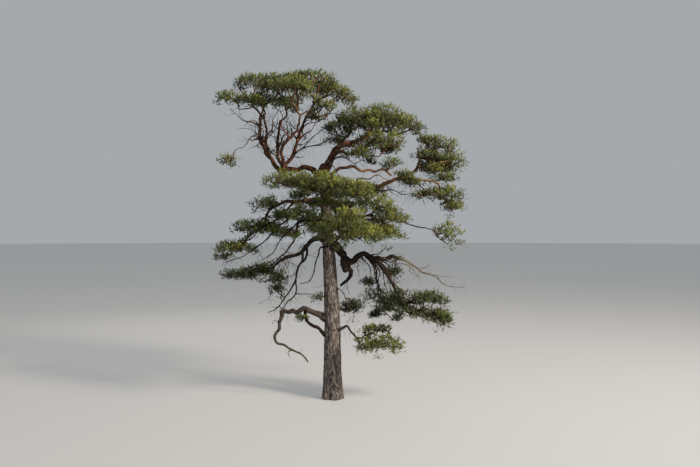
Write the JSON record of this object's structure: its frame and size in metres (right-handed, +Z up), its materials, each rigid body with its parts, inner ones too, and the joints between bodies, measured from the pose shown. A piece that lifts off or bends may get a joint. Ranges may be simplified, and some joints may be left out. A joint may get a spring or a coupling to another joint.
{
  "type": "scots pine tree",
  "caption": "Old open-grown pine with a bare leaning trunk, crooked boughs, flat clouds of needles and dead limbs below the crown.",
  "frame": {"origin": "middle of the flat cut under the trunk, at ground level", "axes": "+Z up, +X to the right seen from the front, +Y away from the viewer"},
  "size_m": [10.7024, 8.2157, 14.1115],
  "materials": {
    "lower_bark": "thick grey-brown bark in long plates with dark fissures",
    "upper_bark": "thin flaking orange-red bark",
    "dark_bark": "dark brown weathered bark on shaded low boughs",
    "deadwood": "bare grey weathered wood",
    "needles": "dark green needles in tufts, yellow-green at the lit tips"
  },
  "bodies": {
    "root": {"trunk": "lower_bark", "high_left_bough": "upper_bark", "dome_left_bough": "dark_bark", "dome_right_bough": "dark_bark", "dome_front_bough": "upper_bark", "dome_back_bough": "dark_bark", "dome_twin_bough": "dark_bark", "crossing_dead_limb": "deadwood", "outer_left_limb": "deadwood", "crest_bough": "upper_bark", "crest_front_limb": "upper_bark", "crest_back_limb": "upper_bark", "wavy_bough": "upper_bark", "right_bough": "upper_bark", "right_outer_limb": "upper_bark", "front_high_bough": "upper_bark", "back_high_bough": "upper_bark", "left_bough": "upper_bark", "middle_left_bough": "lower_bark", "middle_right_bough": "upper_bark", "far_right_limb": "deadwood", "front_low_bough": "lower_bark", "back_low_bough": "lower_bark", "dark_left_bough": "dark_bark", "dead_left_limb": "dark_bark", "dead_left_twin": "dark_bark", "dark_right_bough": "dark_bark", "hooked_stub": "dark_bark", "lower_right_limb": "dark_bark", "inner_right_limb": "dark_bark", "dead_right_limb": "deadwood", "loop_bough": "dark_bark", "loop_tail": "dark_bark", "loop_prop": "dark_bark", "lowest_right_bough": "dark_bark", "dome_left_needles": "needles", "dome_rear_needles": "needles", "dome_top_needles": "needles", "dome_crown_needles": "needles", "dome_right_needles": "needles", "outer_left_needles": "needles", "crest_top_needles": "needles", "crest_rear_needles": "needles", "crest_under_needles": "needles", "wavy_needles": "needles", "right_top_needles": "needles", "right_low_needles": "needles", "front_high_needles": "needles", "back_high_needles": "needles", "left_droop_needles": "needles", "middle_left_needles": "needles", "middle_right_needles": "needles", "far_right_needles": "needles", "front_low_needles": "needles", "back_low_needles": "needles", "low_left_needles": "needles", "lower_right_needles": "needles", "inner_right_needles": "needles", "trunk_needles": "needles", "lowest_needles": "needles"}
  },
  "joints": []
}
